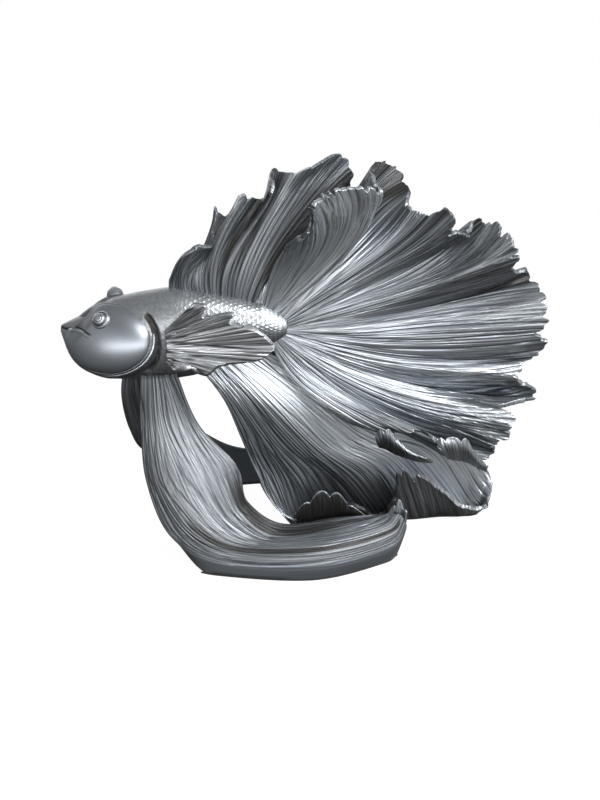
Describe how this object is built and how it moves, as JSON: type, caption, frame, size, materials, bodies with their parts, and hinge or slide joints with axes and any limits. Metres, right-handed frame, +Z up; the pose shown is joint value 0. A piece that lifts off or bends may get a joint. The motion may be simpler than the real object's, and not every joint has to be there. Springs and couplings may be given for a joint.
{
  "type": "fish figurine",
  "caption": "Long-finned ornamental fish figurine in silver-painted cast resin, with a fanned pleated tail, standing on its trailing lower fins.",
  "frame": {"origin": "on the table, in the fish's median plane, at the front end of the middle foot under the anal fin", "axes": "the fish swims towards -X, +Y is its right side, +Z is up from the table"},
  "size_m": [0.3213, 0.1662, 0.2582],
  "materials": {
    "silver_paint": "silver metallic paint with dark recesses over cast resin",
    "felt": "thin black felt"
  },
  "bodies": {
    "root": {"body_casting": "silver_paint", "gill_cover_left": "silver_paint", "gill_cover_right": "silver_paint", "dorsal_fin": "silver_paint", "tail_fin": "silver_paint", "anal_fin": "silver_paint", "pectoral_fin_left": "silver_paint", "pectoral_fin_right": "silver_paint", "pelvic_fin_left": "silver_paint", "pelvic_fin_right": "silver_paint", "foot_pad_left": "felt", "foot_pad_right": "felt", "foot_pad_middle": "felt"}
  },
  "joints": []
}
